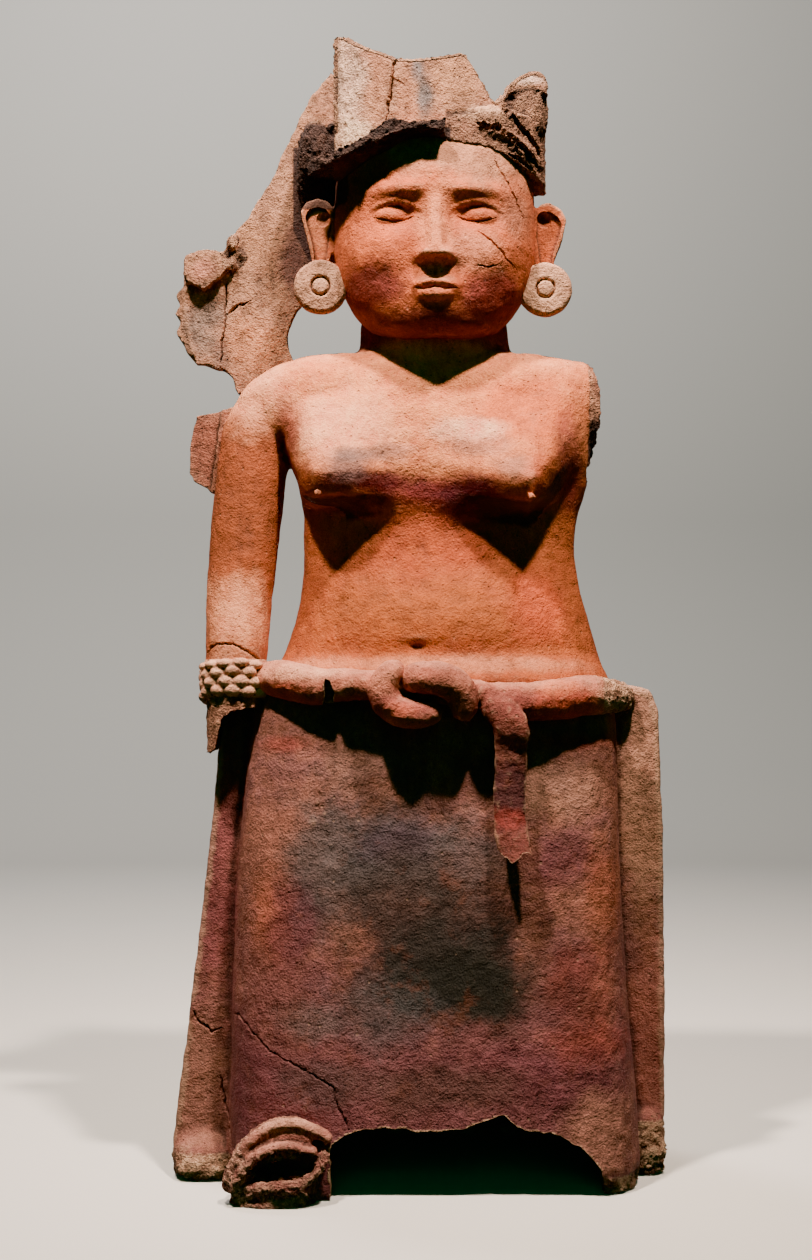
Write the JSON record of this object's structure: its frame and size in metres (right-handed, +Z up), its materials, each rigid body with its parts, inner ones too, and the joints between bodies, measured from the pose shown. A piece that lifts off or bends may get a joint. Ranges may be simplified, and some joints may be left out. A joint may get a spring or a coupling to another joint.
{
  "type": "fertility goddess figure",
  "caption": "Standing hollow figure of a woman in fired clay, with a broken headdress, round ear discs, beaded bracelet, knotted belt and flaring skirt; an arm and a foot are lost.",
  "frame": {"origin": "centre of the footprint's bounding box, on the floor under the skirt", "axes": "+Z up along the figure, -Y the way the figure faces, +X to a viewer's right"},
  "size_m": [0.576, 0.3642, 1.305],
  "materials": {
    "clay": "matte"
  },
  "bodies": {
    "root": {"figure": "clay"}
  },
  "joints": []
}
